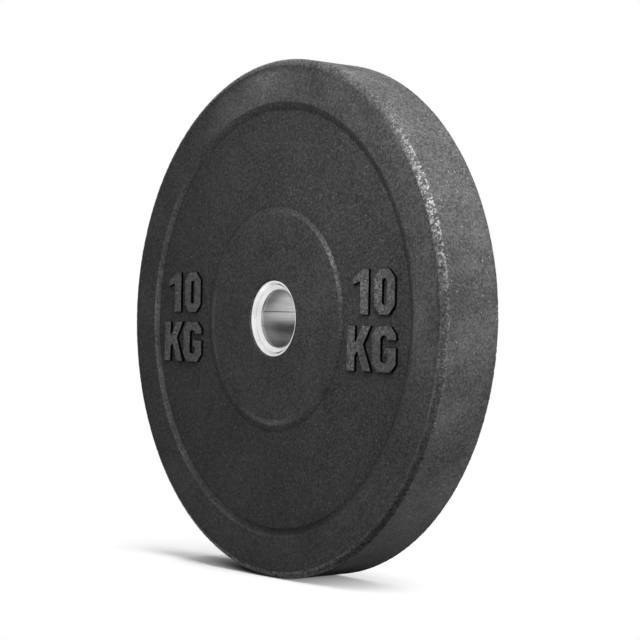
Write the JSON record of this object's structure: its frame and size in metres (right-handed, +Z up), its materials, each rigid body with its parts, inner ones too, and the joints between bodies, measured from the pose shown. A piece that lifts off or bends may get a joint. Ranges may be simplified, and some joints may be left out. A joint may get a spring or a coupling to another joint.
{
  "type": "bumper plate",
  "caption": "Round crumb rubber weight plate with a raised rim band and hub, rounded edges and a flared steel insert for a barbell sleeve.",
  "frame": {"origin": "on the bore's axis at half the thickness, the centre of the plate's box", "axes": "+Z up with the plate standing on its rim, Y along the bore, the front face towards -Y, +X to the right seen from the front"},
  "size_m": [0.45, 0.06, 0.45],
  "materials": {
    "crumb_rubber": "matt, granular, bonded crumb with fine pits",
    "rolled_steel": "rolled strip, satin along the bore",
    "polished_steel": "turned and polished",
    "plain_steel": "plain mill finish, buried in the rubber"
  },
  "bodies": {
    "root": {"crumb_rubber_disc": "crumb_rubber", "bore_sleeve": "rolled_steel", "front_collar": "polished_steel", "rear_collar": "polished_steel", "anchor_disc": "plain_steel"}
  },
  "joints": []
}
